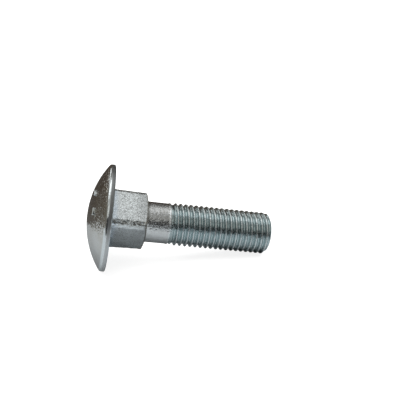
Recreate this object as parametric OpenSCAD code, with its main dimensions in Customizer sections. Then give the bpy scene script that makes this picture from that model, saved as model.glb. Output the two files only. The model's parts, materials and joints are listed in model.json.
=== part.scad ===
// Carriage bolt: a shallow domed head, a drafted square neck, a plain reduced
// shank and a rolled right-hand thread, all forged and rolled from one blank.
// It lies as a dropped bolt does, on the rim of its head and the end of its thread.
// The origin is at the middle of its box, on the ground; +X runs from head to tip.

/* [Head] */
// Diameter of the head
head_d = 38.8; // [34:0.1:44]
// Height of the head, from its flat underside to the crown
head_h = 8.2; // [6:0.1:12]
// Thickness of the head's upright rim, with its two rounded edges
rim_t = 2.4; // [1.8:0.1:3]
// Radius of the edge between the dome and the rim
rim_top_r = 0.8; // [0.3:0.1:1.2]
// Radius of the edge between the rim and the flat underside
rim_under_r = 0.5; // [0.2:0.1:0.6]

/* [Square neck] */
// Width across the neck's flats, where they meet the head
neck_w = 16.3; // [16:0.1:20]
// Height of the neck under the head
neck_h = 13; // [8:0.1:16]
// Lean of each flat towards the tip, in degrees
neck_draft = 0.9; // [0:0.1:1.5]
// Radius of the neck's corners
neck_corner_r = 2; // [1:0.1:3]
// Size of the flare where the neck runs into the head
neck_foot = 0.5; // [0.2:0.1:1]
// Slope of the neck's end, in degrees from square to the bolt
neck_end_slope = 13; // [5:1:45]
// Radius of the round that ends the corners
neck_end_round = 0.7; // [0.4:0.1:1.4]
// Turn of the head and its neck about the bolt as the bolt lies, in degrees
neck_turn = 26.5; // [0:0.5:90]

/* [Shank and thread] */
// Length of the bolt under the head
length = 60; // [50:0.5:120]
// Diameter of the plain shank
shank_d = 15; // [14.4:0.1:15.6]
// Length of the thread, with its run-out
thread_l = 38.5; // [16:0.5:42]
// Nominal diameter of the thread
thread_d = 16; // [15.8:0.1:16.4]
// Distance from one crest of the thread to the next
pitch = 2; // [1.5:0.25:2]
// How far the crests lie inside the nominal diameter, across the bolt
crest_allowance = 0.12; // [0:0.02:0.3]
// Height of the raised lip where the thread rolls begin
lip_h = 0.18; // [0.1:0.02:0.3]
// How far the last full crest ends before the bevel, on the line that touches the ground
crest_back = 0.3; // [0:0.05:1.5]
// Length of the bevel at the tip
tip_bevel = 1; // [0.8:0.1:2.5]
// Diameter of the flat end of the tip
tip_d = 12.8; // [10:0.1:13.6]

/* [Hidden] */
$fn = 48;

// Head: the dome is part of a ball that runs into the rim's upper edge without a crease;
// top_x and top_s place the middle of that edge's round, under_x that of the lower one
head_r = head_d/2;
top_x = head_r - rim_top_r;
top_s = rim_top_r - rim_t;
under_x = head_r - rim_under_r;
dome_r = (top_x^2 + (head_h + top_s)^2 - rim_top_r^2)/(2*(head_h - rim_t));
dome_centre = dome_r - head_h;

// Shank: the lip rises over lip_run, runs level over lip_flat and ends at the thread
shank_r = shank_d/2;
thread_start = length - thread_l;
lip_run = 0.6;
lip_flat = 0.3;

// Neck: its end slopes away from a ring just outside the shank and turns into a round,
// whose middle is at end_x and end_s and which reaches as far out as the corners do
neck_step = 0.15;
neck_end_r = shank_r + neck_step;
neck_reach = sqrt(2)*(neck_w/2 - neck_corner_r) + neck_corner_r - neck_h*tan(neck_draft);
end_x = neck_reach - neck_end_round;
end_s = neck_h - (end_x - neck_end_r)*tan(neck_end_slope) - neck_end_round/cos(neck_end_slope);

// Thread: one turn's outline from a crest's near edge, as [share of a pitch along
// the bolt, depth in pitches]; 60 degree flanks, a flat crest and a rounded root
crest_r = (thread_d - crest_allowance)/2;
outline = [[0, 0], [0.125, 0], [0.4375, 0.5413], [0.5625, 0.6134], [0.6875, 0.5413], [1, 0]];
points_a_turn = len(outline) - 1;
runout_depth = 0.3;
runout_r = shank_r - runout_depth;
core_r = crest_r - pitch;
bevel_start = length - tip_bevel;
last_crest = bevel_start - crest_back;
columns = 36;
least_step = 0.03;
last_turn = ceil(length/pitch);
spare_turns = ceil((length - last_crest)/pitch);

// How the bolt lies: the rim's lower edge and the last full crest touch the ground
touch_drop = under_x - crest_r;
touch_run = last_crest + rim_under_r;
lie = atan(touch_drop/touch_run) + asin(rim_under_r/norm([touch_drop, touch_run]));
axis_z = last_crest*sin(lie) + crest_r*cos(lie);
back_x = dome_centre*cos(lie) - dome_r;
front_x = length*cos(lie) + tip_d/2*sin(lie);

// Share of a turn's outline that place s has reached on column i
function turn_share(i, s) =
    let (turns = (s - last_crest)/pitch + outline[1][0] - i/columns) turns - floor(turns);
// Radius of the thread's surface on column i at place s
function thread_r(i, s) =
    let (full = crest_r - pitch*lookup(turn_share(i, s), outline),
         runout = min(1, (s - thread_start)/pitch),
         bevel = tip_d/2 + (length - s)*(crest_r - tip_d/2)/tip_bevel)
    min(bevel, runout_r + (full - runout_r)*runout);
// Places of the outline's points along column i, clear of the ends and the bevel's edge
function thread_marks(i, from, to) =
    [for (turn = [-last_turn:spare_turns], p = [0:points_a_turn - 1])
        let (s = last_crest + pitch*(turn + i/columns + outline[p][0] - outline[1][0]))
        if (s > from + least_step && s < to - least_step) s];
// Every place along column i at which the surface has a corner
function column_places(i) = concat([thread_start], thread_marks(i, thread_start, bevel_start),
    [bevel_start], thread_marks(i, bevel_start, length), [length]);
// Triangles between two neighbouring columns, each from the one that lags behind;
// a and b are their places, a0 and b0 the numbers of their first points
function strip(a, b, a0, b0, i = 0, j = 0) =
    i == len(a) - 1 && j == len(b) - 1 ? [] :
    j == len(b) - 1 || (i < len(a) - 1 && a[i + 1] <= b[j + 1])
        ? concat([[a0 + i, a0 + i + 1, b0 + j]], strip(a, b, a0, b0, i + 1, j))
        : concat([[a0 + i, b0 + j + 1, b0 + j]], strip(a, b, a0, b0, i, j + 1));
function sum_to(v, n, i = 0) = i == n ? 0 : v[i] + sum_to(v, n, i + 1);

// The neck's side from the head down, x being the half width at the head
function neck_side(x) = [[x + neck_foot, 0], [x - neck_foot*tan(neck_draft), neck_foot],
    [x - neck_h*tan(neck_draft), neck_h]];

module head() rotate_extrude() {
    // The dome, cut off along the line from the ball's middle to the upper edge's
    intersection() {
        translate([0, dome_centre]) circle(dome_r);
        polygon([[0, top_s], [top_x, top_s], 1.2*[top_x, top_s] - 0.2*[0, dome_centre],
            [0, -2*head_h]]);
    }
    translate([top_x, top_s]) circle(rim_top_r);
    translate([under_x, -rim_under_r]) circle(rim_under_r);
    polygon([[0, 0], [under_x, 0], [head_r, -rim_under_r], [head_r, top_s], [0, top_s]]);
}

module neck_slab() {
    side = neck_side(neck_w/2);
    rotate([90, 0, 0]) linear_extrude(neck_w - 2*neck_corner_r, center = true)
        polygon(concat(side, [for (k = [len(side) - 1:-1:0]) [-side[k][0], side[k][1]]]));
}

module neck_corner() rotate_extrude()
    polygon(concat([[0, 0]], neck_side(neck_corner_r), [[0, neck_h]]));

// A turned shape that trims the neck's end and stands clear of its sides
module neck_end() rotate_extrude() {
    polygon([[0, 0], [neck_w, 0], [neck_reach, end_s], [end_x, end_s],
        [end_x + neck_end_round*sin(neck_end_slope), end_s + neck_end_round*cos(neck_end_slope)],
        [neck_end_r, neck_h], [0, neck_h]]);
    translate([end_x, end_s]) circle(neck_end_round);
}

module neck() intersection() {
    union() {
        for (turn = [0, 90]) rotate(turn) neck_slab();
        for (turn = [0:90:270]) rotate(turn)
            translate([neck_w/2 - neck_corner_r, neck_w/2 - neck_corner_r, 0]) neck_corner();
    }
    neck_end();
}

// The plain shank, with its lip and a core that runs on inside the thread
module shank() rotate_extrude() polygon([[0, top_s], [shank_r, top_s],
    [shank_r, thread_start - lip_flat - lip_run], [shank_r + lip_h, thread_start - lip_flat],
    [shank_r + lip_h, thread_start], [core_r, thread_start], [core_r, thread_start + pitch],
    [0, thread_start + pitch]]);

module thread() {
    places = [for (i = [0:columns - 1]) column_places(i)];
    firsts = [for (i = [0:columns - 1]) sum_to([for (column = places) len(column)], i)];
    lasts = [for (i = [0:columns - 1]) firsts[i] + len(places[i]) - 1];
    surface = [for (i = [0:columns - 1], s = places[i])
        [thread_r(i, s)*cos(360*i/columns), thread_r(i, s)*sin(360*i/columns), s]];
    sides = [for (i = [0:columns - 1]) let (k = (i + 1)%columns)
        each strip(places[i], places[k], firsts[i], firsts[k])];
    polyhedron(surface, concat(sides, [firsts], [[for (i = [columns - 1:-1:0]) lasts[i]]]));
}

module bolt() color("silver")
    translate([-(back_x + front_x)/2, 0, axis_z]) rotate([0, 90 + lie, 0]) {
        rotate(neck_turn) {
            head();
            neck();
        }
        shank();
        thread();
    }

bolt();
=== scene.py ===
import json
import math

import bmesh
import bpy
from bpy.props import FloatProperty, FloatVectorProperty, IntProperty, PointerProperty
from mathutils import Euler, Matrix, Vector, noise


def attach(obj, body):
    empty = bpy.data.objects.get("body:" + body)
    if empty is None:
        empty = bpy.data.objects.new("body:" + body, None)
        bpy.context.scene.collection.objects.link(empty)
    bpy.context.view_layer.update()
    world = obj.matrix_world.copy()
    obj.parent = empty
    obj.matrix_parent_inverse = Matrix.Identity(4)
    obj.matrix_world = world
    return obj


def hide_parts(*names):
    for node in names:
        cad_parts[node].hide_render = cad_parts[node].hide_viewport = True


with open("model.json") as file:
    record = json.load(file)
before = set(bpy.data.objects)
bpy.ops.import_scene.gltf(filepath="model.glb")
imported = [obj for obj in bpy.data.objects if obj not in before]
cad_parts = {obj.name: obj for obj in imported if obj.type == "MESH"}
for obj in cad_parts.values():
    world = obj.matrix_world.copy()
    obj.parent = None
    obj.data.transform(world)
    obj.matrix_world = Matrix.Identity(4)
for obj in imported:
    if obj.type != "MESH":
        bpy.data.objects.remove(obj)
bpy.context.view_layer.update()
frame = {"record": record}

bl_info = {
    "name": "Carriage Bolt",
    "version": (1, 0, 0),
    "blender": (4, 5, 0),
    "location": "View3D > Sidebar > Carriage Bolt",
    "description": "Forged and rolled carriage bolt with zinc plate, on a pale studio floor",
    "category": "Add Mesh",
}

MOUNTS = {mount["name"]: mount for mount in frame["record"]["mounts"]}
NECK_LENGTH = MOUNTS["square_neck"]["dims"]["length_mm"]/1000
THREAD_LENGTH = MOUNTS["thread"]["dims"]["length_mm"]/1000
CREST_RADIUS = MOUNTS["thread"]["dims"]["r_mm"]/1000
UNDERSIDE = Vector(MOUNTS["bearing_face"]["pos_m"])
TIP = Vector(MOUNTS["thread"]["pos_m"])
MM = 0.001
MERGE = 0.002*MM


def length(label, default, note):
    """A property for a length in metres."""
    return FloatProperty(name=label, description=note, default=default, unit="LENGTH", precision=5)


def turn(label, degrees, note):
    """A property for an angle, whose default is given in degrees."""
    return FloatProperty(name=label, description=note, default=math.radians(degrees), unit="ROTATION")


def tint(label, default, note):
    """A property for a colour."""
    return FloatVectorProperty(name=label, description=note, default=default, subtype="COLOR",
                               size=3, min=0, max=1)


def share(label, default, note):
    """A property from 0 to 1."""
    return FloatProperty(name=label, description=note, default=default, min=0, max=1, subtype="FACTOR")


class HeadSizes(bpy.types.PropertyGroup):
    diameter: length("Diameter", 38.8*MM, "Diameter of the head")
    height: length("Height", 8.2*MM, "Height from the flat underside to the crown")
    rim: length("Rim", 2.4*MM, "Thickness of the rim with its rounded edges")
    upper_edge: length("Upper edge", 1.2*MM, "Radius between the dome and the rim")
    lower_edge: length("Lower edge", 0.5*MM, "Radius between the rim and the underside")
    dome_rings: IntProperty(name="Dome rings", description="Rings of faces on the dome", default=40)


class StrokeSizes(bpy.types.PropertyGroup):
    ring: length("Ring", 11.3*MM, "Distance of the strokes from the bolt's axis")
    long: length("Length", 2.5*MM, "Length of a stroke round the crown")
    wide: length("Width", 0.8*MM, "Width of a stroke")
    rise: length("Rise", 0.55*MM, "Height of a stroke over the dome")
    edge: length("Edge", 0.26*MM, "Width of the rounds along a stroke's edges")
    first: turn("First", 197, "Place of the first stroke round the crown")
    apart: turn("Apart", 38, "From a stroke to the other of its pair")


class NeckSizes(bpy.types.PropertyGroup):
    width: length("Width", 16.3*MM, "Width across the flats at the head")
    height: length("Height", NECK_LENGTH, "Length of the neck under the head")
    draft: turn("Draft", 0.9, "Lean of each flat towards the tip")
    corner: length("Corner", 2*MM, "Radius of the corners")
    foot: length("Foot", 0.5*MM, "Radius of the hollow where the neck meets the head")
    end_slope: turn("End slope", 13, "Slope of the neck's end")
    end_round: length("End round", 0.7*MM, "Radius that ends the corners")
    end_step: length("End step", 0.15*MM, "Width of the step between the neck's end and the shank")
    end_hollow: length("End hollow", 0.8*MM, "Length of the hollow from the neck's end to the shank")
    turned: turn("Turn", 26.5, "Turn of the neck about the bolt")
    unfilled: length("Unfilled", 0.26*MM, "Depth of the rough flat where a corner isn't filled")
    tilt: turn("Tilt", -13, "Turn of the rough flat from square to the corner")
    shoulder: length("Shoulder", 0.22*MM, "Depth of the smooth flat beside the rough one")
    shoulder_tilt: turn("Shoulder tilt", 28, "Turn of the smooth flat from square to the corner")
    pit_depth: length("Pit depth", 0.22*MM, "Depth of the pits in the rough flat")
    worst: turn("Worst corner", 225, "Where the corners are filled worst, from the neck's turn")
    side_rings: IntProperty(name="Side rings", description="Rings of faces along the neck", default=62)


class ShankSizes(bpy.types.PropertyGroup):
    diameter: length("Diameter", 15*MM, "Diameter of the plain shank")
    lip: length("Lip", 0.18*MM, "Height of the lip where the thread rolls begin")
    lip_run: length("Lip run", 0.6*MM, "Length over which the lip rises")
    lip_flat: length("Lip flat", 0.3*MM, "Length of the lip's level part")


class ThreadSizes(bpy.types.PropertyGroup):
    pitch: length("Pitch", 2*MM, "Distance from crest to crest")
    bevel: length("Bevel", 1*MM, "Length of the bevel at the tip")
    tip: length("Tip", 12.8*MM, "Diameter of the flat end")
    crest_back: length("Crest back", 0.3*MM, "From the last full crest to the bevel, on the underside")
    crest_half: length("Crest", 0.15*MM, "Half the width of a crest")
    depth: length("Depth", 1.12*MM, "Depth of the root under the crest")
    crest_blend: length("Crest blend", 0.26*MM, "How softly the crests are rounded")
    root_blend: length("Root blend", 0.34*MM, "How softly the roots are rounded")
    runout: length("Run-out", 0.3*MM, "Depth under the shank at which the thread begins")
    columns: IntProperty(name="Columns", description="Steps in one turn of the thread", default=128)
    rows: IntProperty(name="Rows", description="Steps from crest to crest", default=16)


class Finish(bpy.types.PropertyGroup):
    zinc: tint("Zinc", (0.80, 0.82, 0.83), "Colour of the clean plate")
    warm: tint("Warm film", (0.52, 0.47, 0.37), "Colour of the brown film on the head")
    teal: tint("Blue film", (0.64, 0.75, 0.77), "Colour of the blue-green film on the thread")
    # Besides polish, this is painted on as a highlight along the head's edge, on the lip and on the thread's
    # crests
    bright: tint("Bright", (0.88, 0.93, 0.95), "Colour of the plate where it is polished")
    # Painted bluish sheen on the neck next to the head
    blue: tint("Blue plate", (0.80, 0.90, 1.0), "Colour of the plate on the neck next to the head")
    roughness: share("Roughness", 0.15, "Roughness of the smooth plate")


class StageSizes(bpy.types.PropertyGroup):
    camera_place: FloatVectorProperty(name="Camera", description="Place of the camera",
                                      default=(-0.018197, -0.164700, 0.101967), subtype="TRANSLATION")
    camera_tilt: turn("Camera tilt", 25.14, "How far the camera looks down")
    camera_yaw: turn("Camera yaw", 8.82, "Turn of the camera towards the tip")
    lens: FloatProperty(name="Lens", description="Focal length in millimetres", default=45.0)
    floor_reach: length("Floor", 6.0, "Half width of the floor")
    paper_front: length("Paper in front", 0.2, "How far in front of the bolt the grey paper ends")
    paper_back: length("Paper behind", 0.036, "How far behind the bolt the grey paper ends")
    lamp_place: FloatVectorProperty(name="Lamp", description="Place of the soft lamp over the bolt",
                                    default=(0, 0.1, 1.6), subtype="TRANSLATION")
    lamp_width: length("Lamp width", 2.4, "Width of the soft lamp")
    lamp_power: FloatProperty(name="Lamp power", description="Power of the lamp in watts", default=90.0)


def bolt_turn():
    """Turn of the bolt's own frame: its z axis runs from the head to the tip."""
    axis = (TIP - UNDERSIDE).normalized()
    return Euler((0, math.pi/2 + math.atan2(-axis.z, axis.x), 0))


def bolt_place():
    """Matrix from the bolt's own frame, with its origin at the head's underside, to the scene."""
    return Matrix.Translation(UNDERSIDE) @ bolt_turn().to_matrix().to_4x4()


# Shapes

COLUMNS_A_SIDE = 56
CORNER_CROWDING = 0.75
UPPER_EDGE_STEPS = 9
LOWER_EDGE_STEPS = 6
UNDERSIDE_STEPS = 4
FOOT_STEPS = 4
NECK_END_STEPS = 10
HOLLOW_STEPS = 6
SHANK_STEPS = 14
LIP_STEPS = 6
SHARP_ANGLE = math.radians(50)
# How much closer together the rings of the neck's end are at its corners
END_CROWDING = 1.8
# Waves and pits a millimetre in the rough flats of the neck's corners
WAVES = 0.6
PITS = 1.3
# Shares of the neck's side over which those flats fade in under the head and out at the end
FADE_IN = 1/6
FADE_OUT = 1/12
# A crest's flat before it is rounded, as a share of the pitch
CREST_FLAT = 1/8
# Rings of the tip's end face, as [distance from its edge, depth]
TIP_DISH = ((0.12*MM, 0), (0.4*MM, 0.03*MM), (0.8*MM, 0.05*MM), (1.0*MM, 0.05*MM))


def column_angles(turned):
    """Angles round the bolt, closer together at the neck's four corners."""
    angles = []
    for k in range(4*COLUMNS_A_SIDE):
        u = k/COLUMNS_A_SIDE
        eased = u - CORNER_CROWDING*math.sin(2*math.pi*u)/(2*math.pi)
        angles.append(turned + math.pi/4 + math.pi/2*eased)
    return angles


def edges_of(verts):
    """The edges of some vertices, each once and in the same order every time."""
    return list(dict.fromkeys(edge for vert in verts for edge in vert.link_edges))


def grow_ring(bm, edges, place):
    """Extrudes a ring of edges; place moves each new vertex. Returns the new ring."""
    made = bmesh.ops.extrude_edge_only(bm, edges=edges)["geom"]
    for item in made:
        if isinstance(item, bmesh.types.BMVert):
            place(item)
    return [item for item in made if isinstance(item, bmesh.types.BMEdge)]


def draw_skin(bm, angles, sections):
    """Extrudes one ring of edges through sections; each gives radius and place at an angle."""
    column = bm.verts.layers.int.new("column")
    verts = bmesh.ops.create_circle(bm, cap_ends=False, segments=len(angles), radius=MM)["verts"]
    for i, vert in enumerate(verts):
        vert[column] = i

    def place(vert, section):
        angle = angles[vert[column]]
        radius, along = section(angle)
        vert.co = (radius*math.cos(angle), radius*math.sin(angle), along)

    for vert in verts:
        place(vert, sections[0])
    edges = edges_of(verts)
    for section in sections[1:]:
        edges = grow_ring(bm, edges, lambda vert: place(vert, section))
    return edges


def ring(radius, along):
    """A round section."""
    return lambda angle: (radius, along)


def dome_ball(head):
    """Radius of the ball that the dome is part of, and the place of its middle."""
    upper_x = head.diameter/2 - head.upper_edge
    upper_z = head.upper_edge - head.rim
    ball = (upper_x**2 + (head.height + upper_z)**2 - head.upper_edge**2)/(2*(head.height - head.rim))
    return ball, ball - head.height


def head_sections(head):
    """Rings from the crown over the dome and the rim to the edge of the underside."""
    upper_x = head.diameter/2 - head.upper_edge
    upper_z = head.upper_edge - head.rim
    lower_x = head.diameter/2 - head.lower_edge
    ball, centre = dome_ball(head)
    reach = math.atan2(upper_x, centre - upper_z)
    places = [(ball*math.sin(a), centre - ball*math.cos(a))
              for a in (reach*k/head.dome_rings for k in range(head.dome_rings + 1))]
    places += [(upper_x + head.upper_edge*math.sin(a), upper_z - head.upper_edge*math.cos(a))
               for a in (reach + (math.pi/2 - reach)*k/UPPER_EDGE_STEPS
                         for k in range(1, UPPER_EDGE_STEPS + 1))]
    places += [(lower_x + head.lower_edge*math.sin(a), -head.lower_edge*(1 + math.cos(a)))
               for a in (math.pi/2*(1 + k/LOWER_EDGE_STEPS) for k in range(LOWER_EDGE_STEPS + 1))]
    return [ring(*place) for place in places]


def neck_radius(neck, angle, spread):
    """Distance from the middle to the side of the neck, grown by spread, at an angle."""
    half, corner = neck.width/2 + spread, neck.corner + spread
    inner = half - corner
    off = (angle - neck.turned) % (math.pi/2)
    flat = min(off, math.pi/2 - off)
    if half*math.tan(flat) < inner:
        return half/math.cos(flat)
    along = inner*(math.cos(off) + math.sin(off))
    return along + math.sqrt(along**2 - 2*inner**2 + corner**2)


def corner_flat(neck, angle, radius, along):
    """Radius at a corner that the forging didn't fill: a rough flat beside a smooth one."""
    spot = Vector((radius*math.cos(angle), radius*math.sin(angle), along))/MM
    off = (angle - neck.turned) % (math.pi/2) - math.pi/4
    inner = neck.width/2 - along*math.tan(neck.draft) - neck.corner
    depth = neck.unfilled*(1 + noise.noise(spot*WAVES))
    depth += neck.pit_depth*noise.turbulence(spot*PITS, 3, False, amplitude_scale=0.6)
    bad = (0.5 + 0.5*math.cos(angle - neck.turned - neck.worst))**2
    flats = ((neck.tilt, depth), (neck.shoulder_tilt, neck.shoulder))
    return min((math.sqrt(2)*inner*math.cos(tilt) + neck.corner - bad*missing)/math.cos(off - tilt)
               for tilt, missing in flats)


class NeckEnd:
    """The slope and the round that trim the neck's end."""

    def __init__(self, neck, shank_radius):
        self.neck = neck
        self.inner = shank_radius + neck.end_step
        reach = math.sqrt(2)*(neck.width/2 - neck.corner) + neck.corner
        self.x = reach - neck.height*math.tan(neck.draft) - neck.end_round
        self.z = (neck.height - (self.x - self.inner)*math.tan(neck.end_slope)
                  - neck.end_round/math.cos(neck.end_slope))

    def along(self, radius):
        """Place along the bolt at which the trimmed end has a radius."""
        neck = self.neck
        if radius < self.x + neck.end_round*math.sin(neck.end_slope):
            return neck.height - (radius - self.inner)*math.tan(neck.end_slope)
        return self.z + math.sqrt(max(0.0, neck.end_round**2 - (radius - self.x)**2))

    def edge(self, angle):
        """Radius and place at which the side of the neck meets its end."""
        along = self.z
        for _ in range(4):
            radius = neck_radius(self.neck, angle, -along*math.tan(self.neck.draft))
            along = self.along(radius)
        return radius, along


def neck_sections(head, neck, shank):
    """Rings from the underside of the head down the neck and over its end to the shank."""
    end = NeckEnd(neck, shank.diameter/2)
    lower_x = head.diameter/2 - head.lower_edge
    taper = math.tan(neck.draft)

    def underside(part):
        return lambda angle: (lower_x + part*(neck_radius(neck, angle, neck.foot) - lower_x), 0)

    def foot(bend):
        along = neck.foot*(1 - math.cos(bend))
        flare = neck.foot*(1 - math.sin(bend))
        return lambda angle: (neck_radius(neck, angle, flare - along*taper), along)

    def side(part):
        def place(angle):
            along = neck.foot + part*(end.edge(angle)[1] - neck.foot)
            radius = neck_radius(neck, angle, -along*taper)
            fade = min(1.0, part/FADE_IN, (1 - part)/FADE_OUT)
            missing = radius - corner_flat(neck, angle, radius, along)
            return radius - fade*max(0.0, missing), along
        return place

    def face(part):
        def place(angle):
            radius = end.edge(angle)[0]
            radius += part*(end.inner - radius)
            return radius, end.along(radius)
        return place

    sections = [underside(k/UNDERSIDE_STEPS) for k in range(1, UNDERSIDE_STEPS + 1)]
    sections += [foot(math.pi/2*k/FOOT_STEPS) for k in range(1, FOOT_STEPS)]
    sections += [side(k/neck.side_rings) for k in range(neck.side_rings + 1)]
    sections += [face((k/NECK_END_STEPS)**END_CROWDING) for k in range(1, NECK_END_STEPS + 1)]
    return sections


def shank_sections(neck, shank, start):
    """Rings from the neck's end along the shank and over its lip to the thread."""
    radius = shank.diameter/2
    bare = start - shank.lip_flat - shank.lip_run
    hollow = neck.height + neck.end_hollow
    places = [(radius + neck.end_step*(1 - k/HOLLOW_STEPS)**2, neck.height + neck.end_hollow*k/HOLLOW_STEPS)
              for k in range(1, HOLLOW_STEPS + 1)]
    places += [(radius, hollow + (bare - hollow)*k/SHANK_STEPS) for k in range(1, SHANK_STEPS + 1)]
    places += [(radius + shank.lip*(1 - math.cos(math.pi*k/LIP_STEPS))/2, bare + shank.lip_run*k/LIP_STEPS)
               for k in range(1, LIP_STEPS + 1)]
    places += [(radius + shank.lip, start - 0.5*shank.lip_flat),
               (radius + 0.8*shank.lip, start - 0.2*shank.lip_flat), (radius, start)]
    return [ring(*place) for place in places]


def add_stroke(bm, head, stroke, angle):
    """A short raised bar on the dome, at an angle round the crown."""
    ball, centre = dome_ball(head)
    lean = math.asin(stroke.ring/ball)
    height = 3*stroke.rise
    made = bmesh.ops.create_cube(bm, size=1)["verts"]
    bmesh.ops.scale(bm, vec=(stroke.wide, stroke.long, height), verts=made)
    bevelled = bmesh.ops.bevel(bm, geom=edges_of(made), offset=stroke.edge, affect="EDGES", segments=4,
                               profile=0.5, material=-1)
    verts = list(dict.fromkeys(vert for face in bevelled["faces"] for vert in face.verts))
    out = ball + stroke.rise - height/2
    place = (Matrix.Rotation(angle, 4, "Z")
             @ Matrix.Translation((out*math.sin(lean), 0, centre - out*math.cos(lean)))
             @ Matrix.Rotation(math.pi - lean, 4, "Y"))
    bmesh.ops.transform(bm, matrix=place, verts=verts)


def soft_above(value, blend):
    """Value where it is above nought, eased to nought below it."""
    return (value + math.sqrt(value**2 + blend**2))/2


def thread_depth(thread, off):
    """Depth of the thread's surface at a distance from the middle of a crest."""
    depth = soft_above((off - thread.crest_half)*math.sqrt(3), thread.crest_blend)
    return thread.depth - soft_above(thread.depth - depth, thread.root_blend)


def thread_radius(thread, along, crest_at):
    """Radius of the full thread on the side that touches the ground."""
    turns = (along - crest_at)/thread.pitch
    off = abs(turns - round(turns))*thread.pitch
    return CREST_RADIUS + thread_depth(thread, 0) - thread_depth(thread, off)


def keep_between(bm, low, high):
    """Cuts everything off below one place along the bolt and above another."""
    for place, normal in ((low, (0, 0, -1)), (high, (0, 0, 1))):
        bmesh.ops.bisect_plane(bm, geom=bm.verts[:] + bm.edges[:] + bm.faces[:], dist=1e-8,
                               plane_co=(0, 0, place), plane_no=normal, clear_outer=True)


def draw_thread(bm, shank, thread, start, tip):
    """Screws the thread's outline round the bolt and trims it; returns its two open edges."""
    crest_at = tip - thread.bevel - thread.crest_back - thread.pitch*CREST_FLAT/2
    turns = math.ceil((tip - start)/thread.pitch) + 2
    step = thread.pitch/thread.rows
    first = start - 1.5*thread.pitch
    outline = []
    for k in range(turns*thread.rows + 1):
        along = first + k*step
        outline.append(bm.verts.new((thread_radius(thread, along, crest_at), 0, along)))
    edges = [bm.edges.new(pair) for pair in zip(outline, outline[1:])]
    bmesh.ops.spin(bm, geom=outline + edges, axis=(0, 0, 1), cent=(0, 0, 0), angle=2*math.pi,
                   dvec=(0, 0, thread.pitch/thread.columns), steps=thread.columns)
    bmesh.ops.remove_doubles(bm, verts=bm.verts[:], dist=MERGE)
    keep_between(bm, start, tip)
    begin = shank.diameter/2 - thread.runout
    for vert in bm.verts:
        radius = vert.co.xy.length
        grown = min(1.0, max(0.0, (vert.co.z - start)/thread.pitch))
        bevelled = thread.tip/2 + (tip - vert.co.z)*(CREST_RADIUS - thread.tip/2)/thread.bevel
        new = min(bevelled, begin + (radius - begin)*grown)
        vert.co.xy *= new/radius
    middle = (start + tip)/2
    open_edges = [edge for edge in bm.edges if edge.is_boundary]
    low = [edge for edge in open_edges if edge.verts[0].co.z < middle]
    high = [edge for edge in open_edges if edge.verts[0].co.z > middle]
    return low, high


def close_tip(bm, edges, thread, tip):
    """Closes the end of the tip, a little dished within its edge."""
    def place(vert, inward, dish):
        vert.co.xy *= (thread.tip/2 - inward)/vert.co.xy.length
        vert.co.z = tip - dish

    for inward, dish in TIP_DISH:
        edges = grow_ring(bm, edges, lambda vert: place(vert, inward, dish))
    bmesh.ops.contextual_create(bm, geom=edges)


def finished_mesh(name, bm):
    """Makes the object from the bolt's own frame, with its place in its mesh."""
    bmesh.ops.remove_doubles(bm, verts=bm.verts[:], dist=MERGE)
    bmesh.ops.recalc_face_normals(bm, faces=bm.faces[:])
    bmesh.ops.transform(bm, matrix=bolt_place(), verts=bm.verts[:])
    for face in bm.faces:
        face.smooth = True
    for edge in bm.edges:
        edge.smooth = edge.calc_face_angle(0) < SHARP_ANGLE
    mesh = bpy.data.meshes.new(name)
    bm.to_mesh(mesh)
    bm.free()
    obj = bpy.data.objects.new(name, mesh)
    bpy.context.collection.objects.link(obj)
    return obj


# Materials

# Places of a Mix node's factor, its two colours and its resulting colour among its sockets
MIX_INPUTS = (0, 6, 7)
MIX_RESULT = 2


def feed(tree, socket, value):
    """Sets an input to a value, or links it to another node's output."""
    if isinstance(value, bpy.types.NodeSocket):
        tree.links.new(value, socket)
    elif socket.type == "RGBA":
        socket.default_value = (*value, 1)
    else:
        socket.default_value = value


def node(tree, kind, **inputs):
    """Adds a node and feeds its named inputs."""
    made = tree.nodes.new(kind)
    for key, value in inputs.items():
        feed(tree, made.inputs[key.replace("_", " ")], value)
    return made


def vector_node(tree, operation, first, second=(0, 0, 0)):
    """Result of a sum on vectors."""
    made = tree.nodes.new("ShaderNodeVectorMath")
    made.operation = operation
    for socket, value in zip(made.inputs, (first, second)):
        feed(tree, socket, value)
    return made.outputs["Value" if operation == "LENGTH" else "Vector"]


def math_node(tree, operation, first, second=0.0):
    """Result of a sum on numbers."""
    made = tree.nodes.new("ShaderNodeMath")
    made.operation = operation
    for socket, value in zip(made.inputs, (first, second)):
        feed(tree, socket, value)
    return made.outputs["Value"]


def ramp(tree, value, low, high, to_low=0.0, to_high=1.0):
    """Value between low and high, spread smoothly from to_low to to_high."""
    made = node(tree, "ShaderNodeMapRange", Value=value, From_Min=low, From_Max=high, To_Min=to_low,
                To_Max=to_high)
    made.interpolation_type = "SMOOTHSTEP"
    return made.outputs["Result"]


def blend(tree, amount, first, second):
    """Colour between two colours; each is a colour or a node's output."""
    made = tree.nodes.new("ShaderNodeMix")
    made.data_type = "RGBA"
    for place, value in zip(MIX_INPUTS, (amount, first, second)):
        feed(tree, made.inputs[place], value)
    return made.outputs[MIX_RESULT]


def darker(colour, by):
    """Colour times a share."""
    return tuple(by*part for part in colour)


def bolt_coordinates(tree):
    """Coordinates in millimetres in the bolt's own frame."""
    place = node(tree, "ShaderNodeTexCoord")
    mapping = node(tree, "ShaderNodeMapping", Vector=place.outputs["Object"],
                   Location=UNDERSIDE, Rotation=bolt_turn(), Scale=(MM, MM, MM))
    mapping.vector_type = "TEXTURE"
    return mapping.outputs["Vector"]


def grains(tree, at, fineness, detail=2.0, roughness=0.5):
    """Noise from 0 to 1 with so many grains a millimetre."""
    return node(tree, "ShaderNodeTexNoise", Vector=at, Scale=fineness, Detail=detail,
                Roughness=roughness).outputs["Fac"]


def crystals(tree, at, fineness):
    """A random colour for each crystal, with so many crystals a millimetre."""
    return node(tree, "ShaderNodeTexVoronoi", Vector=at, Scale=fineness).outputs["Color"]


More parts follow.
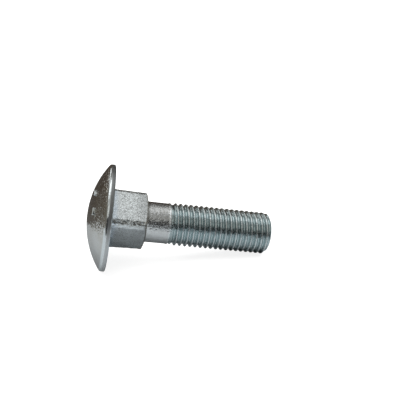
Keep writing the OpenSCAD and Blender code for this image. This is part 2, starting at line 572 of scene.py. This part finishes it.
class Zinc:
    """A zinc material that is built up from colour, roughness and relief."""

    def __init__(self, name):
        self.material = bpy.data.materials.new(name)
        self.material.use_nodes = True
        self.tree = self.material.node_tree
        self.shader = self.tree.nodes["Principled BSDF"]
        self.shader.inputs["Metallic"].default_value = 1.0
        self.at = bolt_coordinates(self.tree)
        self.normal = None

    def facets(self, fineness, tilt, strength=(1, 1, 1)):
        """Leans each crystal's face at random by up to a tilt times a strength."""
        tree = self.tree
        lean = vector_node(tree, "SUBTRACT", crystals(tree, self.at, fineness), (0.5, 0.5, 0.5))
        lean = vector_node(tree, "MULTIPLY", lean, (2*tilt, 2*tilt, 2*tilt))
        lean = vector_node(tree, "MULTIPLY", lean, strength)
        straight = node(tree, "ShaderNodeTexCoord").outputs["Normal"]
        self.normal = vector_node(tree, "NORMALIZE", vector_node(tree, "ADD", straight, lean))

    def relief(self, height, depth):
        """Adds a relief of a depth in metres over what is there."""
        made = node(self.tree, "ShaderNodeBump", Height=height, Distance=depth)
        if self.normal:
            self.tree.links.new(self.normal, made.inputs["Normal"])
        self.normal = made.outputs["Normal"]

    def finish(self, colour, roughness):
        """Feeds the shader and returns the material."""
        tree = self.tree
        tree.links.new(colour, self.shader.inputs["Base Color"])
        tree.links.new(roughness, self.shader.inputs["Roughness"])
        tree.links.new(self.normal, self.shader.inputs["Normal"])
        return self.material


def across_bolt(tree, at):
    """Distance from the bolt's axis in millimetres."""
    return vector_node(tree, "LENGTH", vector_node(tree, "MULTIPLY", at, (1, 1, 0)))


def along_bolt(tree, at):
    """Distance from the underside of the head in millimetres."""
    return node(tree, "ShaderNodeSeparateXYZ", Vector=at).outputs["Z"]


def above_axis(tree, at):
    """Distance above the bolt's axis in millimetres, as the bolt lies."""
    return math_node(tree, "MULTIPLY", node(tree, "ShaderNodeSeparateXYZ", Vector=at).outputs["X"], -1.0)


def dome_zinc(finish):
    """The head: forged grain and brown film, painted reflection on top, painted shade below, a painted
    highlight along its edge and a dull rim painted darker on top.
    """
    zinc = Zinc("dome_zinc")
    # The film takes a quarter of what the plate would mirror at a low angle
    zinc.shader.inputs["Specular Tint"].default_value = (0.75, 0.75, 0.75, 1)
    tree, at = zinc.tree, zinc.at
    along = along_bolt(tree, at)
    fine = grains(tree, at, 1.8, 3, 0.65)
    broad = grains(tree, at, 0.3, 4, 0.6)
    top = above_axis(tree, at)
    # Brown specks stronger on top: partly film, partly painted reflection of the dim brown room that the top
    # mirrors
    film_specks_and_painted_reflection = math_node(tree, "MULTIPLY", ramp(tree, fine, 0.5, 0.62), ramp(tree, top, -2.0, 3.0, 0.06, 0.5))
    film = math_node(tree, "ADD", ramp(tree, broad, 0.38, 0.66, 0.15, 0.42), film_specks_and_painted_reflection)
    colour = blend(tree, film, finish.zinc, finish.warm)
    # Painted shade: the dome's lower side is darker
    colour = blend(tree, ramp(tree, top, -9.0, -1.0, 0.45, 0.05), colour, darker(finish.zinc, 0.5))
    # Painted highlight: brighter plate along the round between the dome and the rim
    edge = ramp(tree, along, -2.45, -2.15)
    colour = blend(tree, edge, colour, finish.bright)
    # The rim is dull, and its colour is painted darker towards the top as a painted dark reflection
    rim = ramp(tree, along, -1.5, -1.15)
    dull = blend(tree, ramp(tree, top, 0.0, 12.0), darker(finish.zinc, 0.74), darker(finish.zinc, 0.34))
    colour = blend(tree, math_node(tree, "MULTIPLY", rim, 0.85), colour, dull)
    loose = math_node(tree, "MULTIPLY", ramp(tree, along, -2.7, -2.2, 1.0, 0.15),
                      ramp(tree, top, 2.0, 8.0, 0.3, 1.0))
    zinc.facets(2.2, 0.17, loose)
    zinc.relief(broad, 0.16*MM)
    zinc.relief(math_node(tree, "MULTIPLY", fine, loose), 0.11*MM)
    smooth = ramp(tree, fine, 0.3, 0.7, finish.roughness - 0.07, finish.roughness)
    return zinc.finish(colour, math_node(tree, "ADD", smooth, math_node(tree, "MULTIPLY", rim, 0.35)))


def stroke_zinc(finish):
    """The raised strokes: polished by wear."""
    zinc = Zinc("stroke_zinc")
    tree, at = zinc.tree, zinc.at
    fine = grains(tree, at, 2.0, 2)
    colour = blend(tree, ramp(tree, fine, 0.4, 0.7, 0.0, 0.1), finish.bright, finish.warm)
    zinc.relief(fine, 0.03*MM)
    return zinc.finish(colour, ramp(tree, fine, 0.3, 0.7, finish.roughness - 0.05, finish.roughness))


def neck_zinc(finish):
    """The neck: crystalline grain, a painted bluish sheen next to the head, darker towards its end, painted
    shade at its end and dark in unfilled corners.
    """
    zinc = Zinc("neck_zinc")
    tree, at = zinc.tree, zinc.at
    along, across = along_bolt(tree, at), across_bolt(tree, at)
    coarse = grains(tree, at, 2.3, 2, 0.6)
    rough = grains(tree, at, 1.1, 3, 0.6)
    broad = grains(tree, at, 0.25, 2)
    salt = node(tree, "ShaderNodeSeparateColor", Color=crystals(tree, at, 3.0)).outputs["Red"]
    colour = blend(tree, ramp(tree, salt, 0.5, 0.9, 0.0, 0.4), finish.bright, darker(finish.zinc, 0.3))
    # Darker towards the neck's end
    colour = blend(tree, ramp(tree, along, 6.5, 12.0, 0.0, 0.35), colour, darker(finish.zinc, 0.45))
    # Painted sheen: bluish brighter plate next to the head
    near = math_node(tree, "ADD", along, math_node(tree, "MULTIPLY", broad, 3.0))
    colour = blend(tree, ramp(tree, near, 2.4, 4.4, 0.8, 0.0), colour, finish.blue)
    corner = math_node(tree, "ADD", across, math_node(tree, "MULTIPLY", along, 0.016))
    corner = ramp(tree, corner, 10.1, 10.4)
    corner = math_node(tree, "MULTIPLY", corner, ramp(tree, rough, 0.42, 0.58, 0.0, 0.6))
    colour = blend(tree, corner, colour, darker(finish.warm, 0.45))
    # Painted shade: a dark line on the neck's end where it steps down to the shank
    end = math_node(tree, "ADD", along, math_node(tree, "MULTIPLY", across, 0.231))
    colour = blend(tree, ramp(tree, end, 14.2, 14.55, 0.0, 0.8), colour, darker(finish.warm, 0.3))
    zinc.facets(3.2, 0.14)
    zinc.relief(broad, 0.08*MM)
    zinc.relief(coarse, 0.1*MM)
    return zinc.finish(colour, ramp(tree, coarse, 0.3, 0.7, finish.roughness, finish.roughness + 0.1))


def shank_zinc(finish):
    """The plain shank: coarse grain, faint drawn lines and a lip painted brighter as a highlight."""
    zinc = Zinc("shank_zinc")
    tree, at = zinc.tree, zinc.at
    stretched = node(tree, "ShaderNodeMapping", Vector=at, Scale=(1, 1, 0.4)).outputs["Vector"]
    drawn = grains(tree, stretched, 1.6, 3, 0.6)
    coarse = grains(tree, at, 1.5, 3, 0.65)
    film = ramp(tree, coarse, 0.48, 0.62, 0.0, 0.2)
    colour = blend(tree, film, finish.zinc, darker(finish.warm, 0.8))
    thread_start = ((TIP - UNDERSIDE).length - THREAD_LENGTH)/MM
    # Painted highlight: the lip is painted brighter
    lip = ramp(tree, along_bolt(tree, at), thread_start - 0.75, thread_start - 0.45)
    colour = blend(tree, lip, colour, finish.bright)
    zinc.facets(2.4, 0.07)
    zinc.relief(drawn, 0.08*MM)
    zinc.relief(coarse, 0.16*MM)
    return zinc.finish(colour, ramp(tree, drawn, 0.3, 0.7, finish.roughness - 0.06,
                                    finish.roughness + 0.04))


def thread_zinc(finish):
    """The thread: painted glints on its crests, painted shade darkening its blue-green flanks, a little less
    in its roots.
    """
    zinc = Zinc("thread_zinc")
    tree, at = zinc.tree, zinc.at
    down = math_node(tree, "SUBTRACT", CREST_RADIUS/MM, across_bolt(tree, at))
    fine = grains(tree, at, 1.8, 3)
    down = math_node(tree, "ADD", down, ramp(tree, fine, 0.3, 0.7, -0.1, 0.1))
    # Painted shade: the flanks are darker than the roots
    colour = blend(tree, ramp(tree, down, 0.6, 1.0), darker(finish.teal, 0.8), darker(finish.teal, 0.9))
    # Painted glints: the crests are bright plate
    colour = blend(tree, ramp(tree, down, 0.0, 0.25), darker(finish.bright, 0.9), colour)
    zinc.facets(2.2, 0.07)
    zinc.relief(fine, 0.08*MM)
    return zinc.finish(colour, ramp(tree, fine, 0.3, 0.7, finish.roughness, finish.roughness + 0.12))


# Operators

class BOLT_OT_body(bpy.types.Operator):
    """Builds the bolt: head, square neck, shank and thread as one closed skin"""
    bl_idname = "carriage_bolt.body"
    bl_label = "Bolt"

    def execute(self, context):
        scene = context.scene
        head, neck, shank, thread = scene.head_sizes, scene.neck_sizes, scene.shank_sizes, scene.thread_sizes
        tip = (TIP - UNDERSIDE).length
        start = tip - THREAD_LENGTH
        bm = bmesh.new()
        low, high = draw_thread(bm, shank, thread, start, tip)
        close_tip(bm, high, thread, tip)
        sections = head_sections(head) + neck_sections(head, neck, shank)
        sections += shank_sections(neck, shank, start)
        last = draw_skin(bm, column_angles(neck.turned), sections)
        bmesh.ops.triangle_fill(bm, edges=last + low, normal=(0, 0, 1), use_beauty=True)
        # The finish changes at each of these places along the bolt
        near = 0.01*MM
        zones = (-head.lower_edge/2, neck.height - near, start - near)
        for face in bm.faces:
            face.material_index = sum(face.calc_center_median().z > zone for zone in zones)
        bolt = finished_mesh("bolt_body", bm)
        for make in (dome_zinc, neck_zinc, shank_zinc, thread_zinc):
            bolt.data.materials.append(make(scene.bolt_finish))
        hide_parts("bolt")
        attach(bolt, "root")
        return {"FINISHED"}


class BOLT_OT_strokes(bpy.types.Operator):
    """Adds two pairs of plain raised strokes to the dome"""
    bl_idname = "carriage_bolt.strokes"
    bl_label = "Strokes"

    def execute(self, context):
        head, stroke = context.scene.head_sizes, context.scene.stroke_sizes
        bm = bmesh.new()
        for side in (0, math.pi):
            for angle in (stroke.first, stroke.first + stroke.apart):
                add_stroke(bm, head, stroke, angle + side)
        strokes = finished_mesh("head_strokes", bm)
        strokes.data.materials.append(stroke_zinc(context.scene.bolt_finish))
        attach(strokes, "root")
        return {"FINISHED"}


def plain_material(name, colour, glow=0.0):
    """A dull even surface that may glow a little, as a lit table does."""
    material = bpy.data.materials.new(name)
    material.use_nodes = True
    shader = material.node_tree.nodes["Principled BSDF"]
    shader.inputs["Base Color"].default_value = (*colour, 1)
    shader.inputs["Roughness"].default_value = 0.9
    shader.inputs["Specular IOR Level"].default_value = 0.0
    shader.inputs["Emission Color"].default_value = (1, 1, 1, 1)
    shader.inputs["Emission Strength"].default_value = glow
    return material


def stage_plane(name, corners, height, material):
    """A flat rectangle of the stage between two corners."""
    (x0, y0), (x1, y1) = corners
    bm = bmesh.new()
    bmesh.ops.create_grid(bm, x_segments=1, y_segments=1, size=0.5)
    bmesh.ops.scale(bm, vec=(x1 - x0, y1 - y0, 1), verts=bm.verts[:])
    bmesh.ops.translate(bm, vec=((x0 + x1)/2, (y0 + y1)/2, height), verts=bm.verts[:])
    mesh = bpy.data.meshes.new(name)
    bm.to_mesh(mesh)
    bm.free()
    mesh.materials.append(material)
    obj = bpy.data.objects.new(name, mesh)
    bpy.context.collection.objects.link(obj)
    return obj


def add_lamp(name, place, width, power):
    """A large soft lamp that points at the origin and isn't mirrored in the plate."""
    lamp = bpy.data.lights.new(name, "AREA")
    lamp.shape = "SQUARE"
    lamp.size = width
    lamp.energy = power
    obj = bpy.data.objects.new(name, lamp)
    obj.location = place
    obj.rotation_euler = (-Vector(place)).to_track_quat("-Z", "Y").to_euler()
    obj.visible_glossy = False
    bpy.context.collection.objects.link(obj)


FLOOR_COLOUR = (0.28, 0.28, 0.28)
FLOOR_GLOW = 0.85
# Colour of the paper, which only the plate mirrors
PAPER_COLOUR = (0.22, 0.232, 0.238)
# Brightness of the studio over the bolt, from the front horizon (0) over the top to the back
# horizon (1), as [place, colour]
STUDIO = (
    (0.00, (0.07, 0.07, 0.07)),
    (0.03, (0.035, 0.035, 0.035)),
    (0.18, (0.035, 0.035, 0.035)),
    (0.22, (0.58, 0.58, 0.56)),
    (0.28, (0.64, 0.64, 0.61)),
    (0.37, (0.34, 0.34, 0.32)),
    (0.43, (0.38, 0.38, 0.36)),
    (0.50, (1.05, 1.07, 1.07)),
    (0.60, (1.35, 1.35, 1.33)),
    (0.66, (0.70, 0.70, 0.68)),
    (0.71, (0.15, 0.145, 0.135)),
    (0.89, (0.14, 0.13, 0.12)),
    (0.93, (0.09, 0.074, 0.062)),
    (1.00, (0.10, 0.081, 0.064)),
)
# Colour of the studio's left and right sides
SIDE_COLOUR = (0.14, 0.128, 0.108)
# Soft windows behind the bolt, as [from and to across, from and to in height, colour]; across and
# height are parts of a direction's length
WINDOWS = (
    ((-0.65, -0.25), (0.35, 0.55), (1.0, 1.0, 0.98)),
    ((0.75, 1.10), (0.25, 0.55), (0.50, 0.55, 0.56)),
    ((0.16, 0.50), (0.74, 0.88), (0.60, 0.60, 0.58)),
)
# How softly the windows end across and in height
WINDOW_EDGE = 0.08
WINDOW_ENDS = 0.05
BACKDROP = (1.0, 1.0, 1.0)


def studio_world():
    """A dim room whose bright ceiling fades to the right; the camera sees a pale backdrop."""
    world = bpy.data.worlds.new("studio")
    world.use_nodes = True
    tree = world.node_tree
    background = tree.nodes["Background"]
    toward = node(tree, "ShaderNodeTexCoord").outputs["Generated"]
    apart = node(tree, "ShaderNodeSeparateXYZ", Vector=toward)
    back = math_node(tree, "MULTIPLY", apart.outputs["Y"], -1.0)
    height = apart.outputs["Z"]
    angle = math_node(tree, "ARCTAN2", math_node(tree, "ABSOLUTE", height), back)
    over = math_node(tree, "DIVIDE", angle, math.pi)
    colours = tree.nodes.new("ShaderNodeValToRGB")
    stops = colours.color_ramp.elements
    stops[0].position, stops[1].position = STUDIO[0][0], STUDIO[-1][0]
    stops[0].color, stops[1].color = (*STUDIO[0][1], 1), (*STUDIO[-1][1], 1)
    for place, colour in STUDIO[1:-1]:
        stops.new(place).color = (*colour, 1)
    tree.links.new(over, colours.inputs["Fac"])
    across = apart.outputs["X"]
    dimmed = ramp(tree, across, 0.0, 0.28, 0.0, 0.5)
    room = blend(tree, dimmed, colours.outputs["Color"], (0, 0, 0))
    room = blend(tree, ramp(tree, across, -0.95, -0.65, 1.0, 0.0), room, SIDE_COLOUR)
    room = blend(tree, ramp(tree, across, 0.5, 0.9), room, SIDE_COLOUR)
    for (left, right), (low, high), colour in WINDOWS:
        inside = math_node(tree, "MULTIPLY", ramp(tree, across, left - WINDOW_EDGE, left),
                           ramp(tree, across, right, right + WINDOW_EDGE, 1.0, 0.0))
        inside = math_node(tree, "MULTIPLY", inside, ramp(tree, height, low - WINDOW_ENDS, low))
        inside = math_node(tree, "MULTIPLY", inside,
                           ramp(tree, height, high, high + WINDOW_ENDS, 1.0, 0.0))
        inside = math_node(tree, "MULTIPLY", inside, ramp(tree, apart.outputs["Y"], -0.2, 0.0))
        room = blend(tree, inside, room, colour)
    path = node(tree, "ShaderNodeLightPath")
    seen = blend(tree, path.outputs["Is Camera Ray"], room, BACKDROP)
    tree.links.new(seen, background.inputs["Color"])
    bpy.context.scene.world = world


class BOLT_OT_stage(bpy.types.Operator):
    """Adds the pale floor, the soft studio light and the camera"""
    bl_idname = "carriage_bolt.stage"
    bl_label = "Stage"

    def execute(self, context):
        sizes = context.scene.stage_sizes
        reach = sizes.floor_reach
        floor = stage_plane("floor", ((-reach, -reach), (reach, reach)), 0,
                            plain_material("floor_white", FLOOR_COLOUR, FLOOR_GLOW))
        floor.visible_glossy = False
        paper = stage_plane("paper", ((-reach, -sizes.paper_front), (reach, sizes.paper_back)), 0.05*MM,
                            plain_material("paper_grey", PAPER_COLOUR))
        paper.visible_camera = paper.visible_diffuse = paper.visible_shadow = False
        add_lamp("ceiling_lamp", sizes.lamp_place, sizes.lamp_width, sizes.lamp_power)
        studio_world()
        lens = bpy.data.cameras.new("camera")
        lens.lens = sizes.lens
        lens.sensor_width = 36
        lens.clip_start = 0.005
        camera = bpy.data.objects.new("camera", lens)
        camera.location = sizes.camera_place
        camera.rotation_euler = (math.pi/2 - sizes.camera_tilt, 0, -sizes.camera_yaw)
        context.collection.objects.link(camera)
        context.scene.camera = camera
        context.scene.view_settings.view_transform = "Standard"
        return {"FINISHED"}


class BOLT_PT_panel(bpy.types.Panel):
    """Lists the sizes and the pieces of the bolt"""
    bl_idname = "BOLT_PT_panel"
    bl_label = "Carriage Bolt"
    bl_space_type = "VIEW_3D"
    bl_region_type = "UI"
    bl_category = "Carriage Bolt"

    def draw(self, context):
        for name in GROUPS:
            box = self.layout.box()
            box.label(text=name.replace("_", " ").capitalize())
            sizes = getattr(context.scene, name)
            for key in sizes.__annotations__:
                box.prop(sizes, key)
        for operator in OPERATORS:
            self.layout.operator(operator.bl_idname)


GROUPS = {
    "head_sizes": HeadSizes,
    "stroke_sizes": StrokeSizes,
    "neck_sizes": NeckSizes,
    "shank_sizes": ShankSizes,
    "thread_sizes": ThreadSizes,
    "bolt_finish": Finish,
    "stage_sizes": StageSizes,
}
OPERATORS = (BOLT_OT_body, BOLT_OT_strokes, BOLT_OT_stage)


def register():
    for cls in (*GROUPS.values(), *OPERATORS, BOLT_PT_panel):
        bpy.utils.register_class(cls)
    for name, group in GROUPS.items():
        setattr(bpy.types.Scene, name, PointerProperty(type=group))


def unregister():
    for name in GROUPS:
        delattr(bpy.types.Scene, name)
    for cls in reversed((*GROUPS.values(), *OPERATORS, BOLT_PT_panel)):
        bpy.utils.unregister_class(cls)


def main():
    register()
    bpy.ops.carriage_bolt.stage()
    bpy.ops.carriage_bolt.body()
    bpy.ops.carriage_bolt.strokes()


if __name__ == "__main__":
    main()
